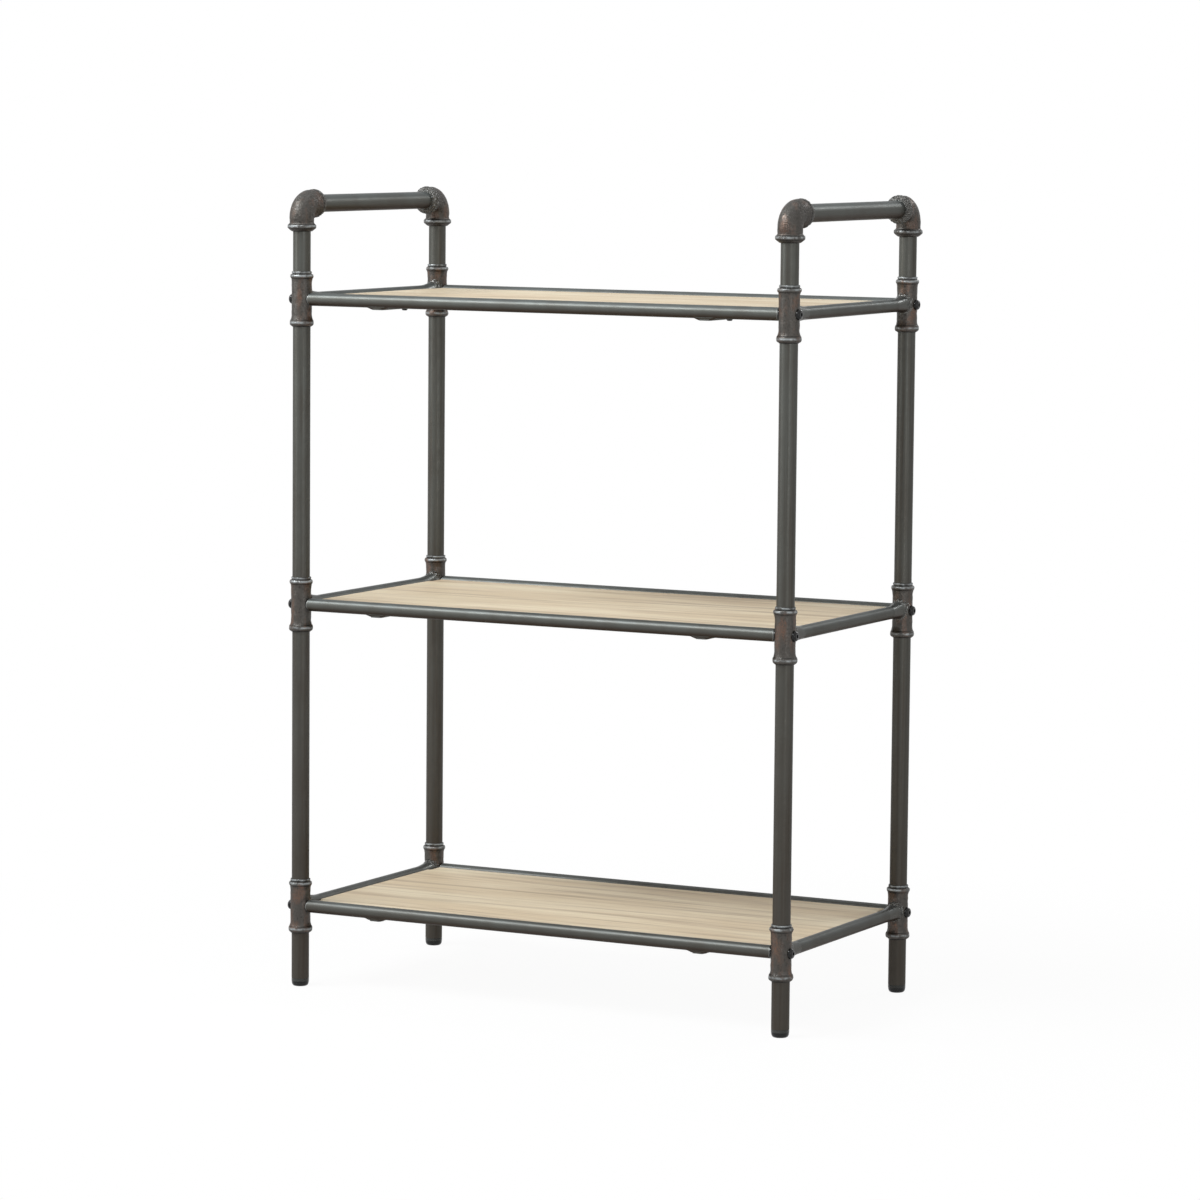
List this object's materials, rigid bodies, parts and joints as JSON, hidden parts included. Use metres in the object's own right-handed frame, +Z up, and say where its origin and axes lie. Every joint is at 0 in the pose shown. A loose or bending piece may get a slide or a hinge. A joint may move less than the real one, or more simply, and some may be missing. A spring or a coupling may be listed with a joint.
{
  "type": "pipe shelving unit",
  "caption": "Open shelving unit of dark round pipe with cast tees and elbows, light wooden boards in pipe frames and a raised pipe handle across each end.",
  "frame": {"origin": "on the floor under the middle of the unit", "axes": "+X to the right seen from the front, +Y to the back, +Z up"},
  "size_m": [0.706, 0.376, 1],
  "materials": {
    "pipe_finish": "dark warm grey, satin",
    "cast_fitting": "dark grey-brown casting with copper-coloured specks, satin",
    "bolt_black": "black, glossy",
    "strap_finish": "dark warm grey, satin",
    "plug_steel": "plain steel",
    "foot_plastic": "black, glossy",
    "board_wood": "light oak with grey-brown grain, matt"
  },
  "bodies": {
    "root": {"front_left_foot": "foot_plastic", "front_left_leg_pipe": "pipe_finish", "front_left_lower_post": "pipe_finish", "front_left_upper_post": "pipe_finish", "front_left_top_nipple": "pipe_finish", "front_left_bottom_tee": "cast_fitting", "front_left_middle_tee": "cast_fitting", "front_left_top_tee": "cast_fitting", "front_left_elbow": "cast_fitting", "front_right_foot": "foot_plastic", "front_right_leg_pipe": "pipe_finish", "front_right_lower_post": "pipe_finish", "front_right_upper_post": "pipe_finish", "front_right_top_nipple": "pipe_finish", "front_right_bottom_tee": "cast_fitting", "front_right_middle_tee": "cast_fitting", "front_right_top_tee": "cast_fitting", "front_right_elbow": "cast_fitting", "rear_left_foot": "foot_plastic", "rear_left_leg_pipe": "pipe_finish", "rear_left_lower_post": "pipe_finish", "rear_left_upper_post": "pipe_finish", "rear_left_top_nipple": "pipe_finish", "rear_left_bottom_tee": "cast_fitting", "rear_left_middle_tee": "cast_fitting", "rear_left_top_tee": "cast_fitting", "rear_left_elbow": "cast_fitting", "rear_right_foot": "foot_plastic", "rear_right_leg_pipe": "pipe_finish", "rear_right_lower_post": "pipe_finish", "rear_right_upper_post": "pipe_finish", "rear_right_top_nipple": "pipe_finish", "rear_right_bottom_tee": "cast_fitting", "rear_right_middle_tee": "cast_fitting", "rear_right_top_tee": "cast_fitting", "rear_right_elbow": "cast_fitting", "left_handle_bar": "pipe_finish", "left_bottom_side_rail": "pipe_finish", "left_middle_side_rail": "pipe_finish", "left_top_side_rail": "pipe_finish", "right_handle_bar": "pipe_finish", "right_bottom_side_rail": "pipe_finish", "right_middle_side_rail": "pipe_finish", "right_top_side_rail": "pipe_finish", "front_bottom_rail": "pipe_finish", "rear_bottom_rail": "pipe_finish", "bottom_shelf_board": "board_wood", "bottom_straps": "strap_finish", "front_middle_rail": "pipe_finish", "rear_middle_rail": "pipe_finish", "middle_shelf_board": "board_wood", "middle_straps": "strap_finish", "front_top_rail": "pipe_finish", "rear_top_rail": "pipe_finish", "top_shelf_board": "board_wood", "top_straps": "strap_finish", "rail_bolts": "bolt_black", "saddle_washers": "bolt_black", "threaded_plugs": "plug_steel", "shelf_screws": "bolt_black"}
  },
  "joints": []
}
